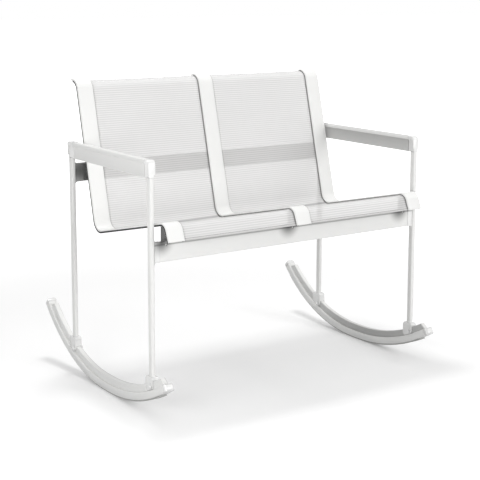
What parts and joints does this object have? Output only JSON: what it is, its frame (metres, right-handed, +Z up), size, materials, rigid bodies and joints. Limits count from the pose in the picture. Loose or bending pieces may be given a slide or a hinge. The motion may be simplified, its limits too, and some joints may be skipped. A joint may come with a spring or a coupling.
{
  "type": "rocking bench",
  "caption": "Two-seat outdoor rocking bench: flat L-shaped rails with stretched woven slings, low arms and slim legs on two curved rockers.",
  "frame": {"origin": "on the floor, under the middle of the bench's outline from above, with the bench at rest", "axes": "+Z up, -Y towards the sitter's front, +X towards the right arm seen from the front"},
  "size_m": [0.881, 0.678, 0.8084],
  "materials": {
    "white_frame": "smooth white powder coat",
    "cast_fittings": "smooth white powder coat on castings",
    "woven_mesh": "coated yarn in an open weave, white",
    "nylon": "matt light grey",
    "plated_bolts": "plated, satin"
  },
  "bodies": {
    "root": {"centre_front_bolt": "plated_bolts", "centre_front_bracket": "cast_fittings", "centre_rear_bolt": "plated_bolts", "centre_rear_bracket": "cast_fittings", "centre_seat_rail": "white_frame", "front_crossbar": "white_frame", "front_left_bar_end": "cast_fittings", "front_right_bar_end": "cast_fittings", "left_arm_rail": "white_frame", "left_front_bolt": "plated_bolts", "left_front_bracket": "cast_fittings", "left_front_corner": "cast_fittings", "left_front_foot": "cast_fittings", "left_front_foot_bolt": "plated_bolts", "left_front_leg": "white_frame", "left_glide_strip": "nylon", "left_rear_bolt": "plated_bolts", "left_rear_bracket": "cast_fittings", "left_rear_corner": "cast_fittings", "left_rear_foot": "cast_fittings", "left_rear_foot_bolt": "plated_bolts", "left_rear_leg": "white_frame", "left_rocker": "white_frame", "left_rocker_front_cap": "cast_fittings", "left_rocker_rear_cap": "cast_fittings", "left_seat_rail": "white_frame", "left_sling": "woven_mesh", "left_sling_left_spline": "nylon", "left_sling_right_spline": "nylon", "rear_crossbar": "white_frame", "rear_left_bar_end": "cast_fittings", "rear_right_bar_end": "cast_fittings", "right_arm_rail": "white_frame", "right_front_bolt": "plated_bolts", "right_front_bracket": "cast_fittings", "right_front_corner": "cast_fittings", "right_front_foot": "cast_fittings", "right_front_foot_bolt": "plated_bolts", "right_front_leg": "white_frame", "right_glide_strip": "nylon", "right_rear_bolt": "plated_bolts", "right_rear_bracket": "cast_fittings", "right_rear_corner": "cast_fittings", "right_rear_foot": "cast_fittings", "right_rear_foot_bolt": "plated_bolts", "right_rear_leg": "white_frame", "right_rocker": "white_frame", "right_rocker_front_cap": "cast_fittings", "right_rocker_rear_cap": "cast_fittings", "right_seat_rail": "white_frame", "right_sling": "woven_mesh", "right_sling_left_spline": "nylon", "right_sling_right_spline": "nylon"}
  },
  "joints": []
}
